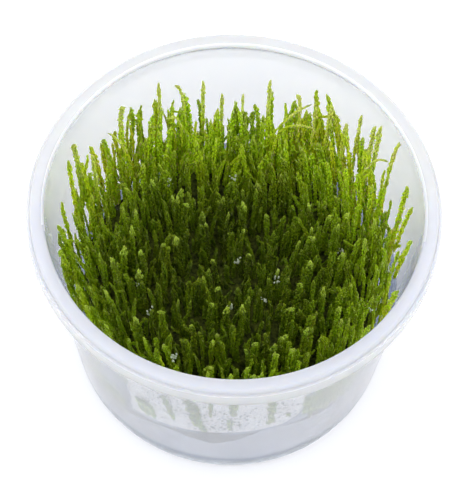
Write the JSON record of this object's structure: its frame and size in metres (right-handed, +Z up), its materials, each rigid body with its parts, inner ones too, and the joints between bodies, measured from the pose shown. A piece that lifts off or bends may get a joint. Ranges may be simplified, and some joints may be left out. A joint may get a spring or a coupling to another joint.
{
  "type": "tissue culture moss cup",
  "caption": "Open round culture cup of milky plastic with a folded rim, holding clear gel and a dense upright tuft of spiky green moss.",
  "frame": {"origin": "middle of the cup's flat underside", "axes": "+Z up along the cup's axis, out of its open mouth; -Y towards the side seen in front in the picture"},
  "size_m": [0.097, 0.097, 0.066],
  "materials": {
    "cup_plastic": "satin",
    "culture_gel": "gloss",
    "moss": "matte",
    "moss_tips": "satin"
  },
  "bodies": {
    "root": {"cup": "cup_plastic", "gel": "culture_gel", "moss_mat": "moss", "shoot_01": "moss_tips", "shoot_02": "moss_tips", "shoot_03": "moss_tips", "shoot_04": "moss_tips", "shoot_05": "moss_tips", "shoot_06": "moss_tips", "shoot_07": "moss_tips", "shoot_08": "moss_tips", "shoot_09": "moss_tips", "shoot_10": "moss_tips", "shoot_11": "moss_tips", "shoot_12": "moss_tips", "shoot_13": "moss_tips", "shoot_14": "moss_tips", "shoot_15": "moss_tips", "shoot_16": "moss_tips", "shoot_17": "moss_tips", "shoot_18": "moss_tips", "shoot_19": "moss_tips", "shoot_20": "moss_tips", "shoot_21": "moss_tips", "shoot_22": "moss_tips", "shoot_23": "moss_tips", "shoot_24": "moss_tips", "shoot_25": "moss_tips", "shoot_26": "moss_tips", "shoot_27": "moss_tips", "shoot_28": "moss_tips", "shoot_29": "moss_tips", "shoot_30": "moss_tips", "shoot_31": "moss_tips", "shoot_32": "moss_tips", "shoot_33": "moss_tips", "shoot_34": "moss_tips", "shoot_35": "moss_tips", "shoot_36": "moss_tips"}
  },
  "joints": []
}
